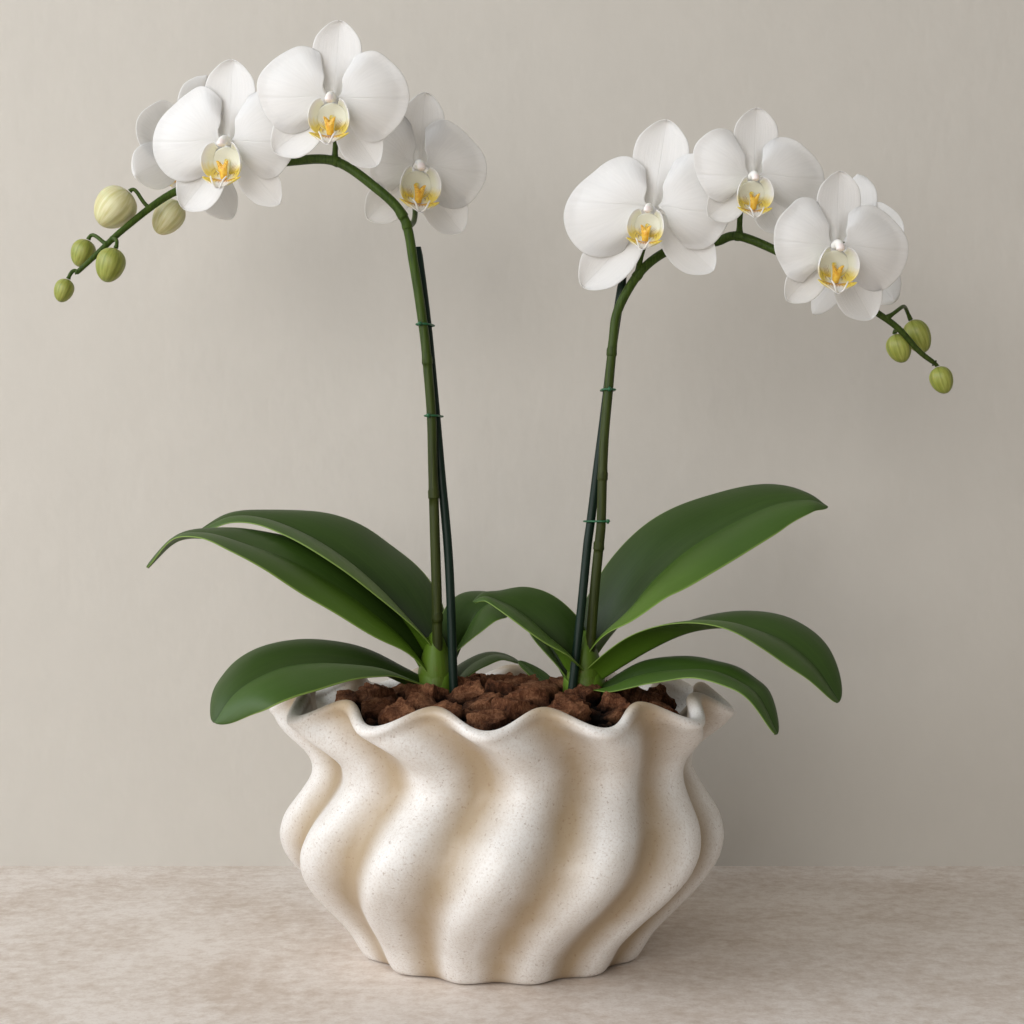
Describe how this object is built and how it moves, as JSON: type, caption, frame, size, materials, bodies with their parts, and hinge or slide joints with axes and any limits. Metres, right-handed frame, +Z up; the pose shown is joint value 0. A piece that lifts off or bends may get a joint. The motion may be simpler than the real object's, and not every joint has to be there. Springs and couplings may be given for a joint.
{
  "type": "potted moth orchid",
  "caption": "Potted moth orchid: a fluted, ruffled glazed pot of bark chips with staked arching sprays of broad white flowers over strap-shaped leaves.",
  "frame": {"origin": "middle of the pot's flat underside", "axes": "+Z up, +X to the right as the front is seen, -Y towards the viewer at the front"},
  "size_m": [0.5768, 0.2967, 0.5885],
  "materials": {
    "glaze": "gloss",
    "bark": "matte",
    "leaf": "satin",
    "crown": "satin",
    "spike": "satin",
    "stake": "satin",
    "tie": "satin",
    "bud": "satin",
    "petal": "satin",
    "lip": "satin",
    "column": "satin"
  },
  "bodies": {
    "root": {"pot": "glaze", "left_spike": "spike", "left_stake": "stake", "left_tie_1": "tie", "left_tie_2": "tie", "left_crown": "crown", "right_spike": "spike", "right_stake": "stake", "right_tie_1": "tie", "right_tie_2": "tie", "right_crown": "crown", "left_leaf_upper": "leaf", "left_leaf_middle": "leaf", "left_leaf_lower": "leaf", "left_leaf_arching": "leaf", "left_leaf_small": "leaf", "right_leaf_upper": "leaf", "right_leaf_middle": "leaf", "right_leaf_lower": "leaf", "right_leaf_arching": "leaf", "right_leaf_inner": "leaf", "right_leaf_thin": "leaf", "bark_bed": "bark", "left_bloom_1_petals": "petal", "left_bloom_1_lip": "lip", "left_bloom_1_column": "column", "left_bloom_2_petals": "petal", "left_bloom_2_lip": "lip", "left_bloom_2_column": "column", "left_bloom_3_petals": "petal", "left_bloom_3_lip": "lip", "left_bloom_3_column": "column", "left_bloom_4_petals": "petal", "left_bloom_4_lip": "lip", "left_bloom_4_column": "column", "left_bud_1": "bud", "left_bud_2": "bud", "left_bud_3": "bud", "left_bud_4": "bud", "left_bud_5": "bud", "right_bloom_1_petals": "petal", "right_bloom_1_lip": "lip", "right_bloom_1_column": "column", "right_bloom_2_petals": "petal", "right_bloom_2_lip": "lip", "right_bloom_2_column": "column", "right_bloom_3_petals": "petal", "right_bloom_3_lip": "lip", "right_bloom_3_column": "column", "right_bloom_4_petals": "petal", "right_bloom_4_lip": "lip", "right_bloom_4_column": "column", "right_bud_1": "bud", "right_bud_2": "bud", "right_bud_3": "bud"}
  },
  "joints": []
}
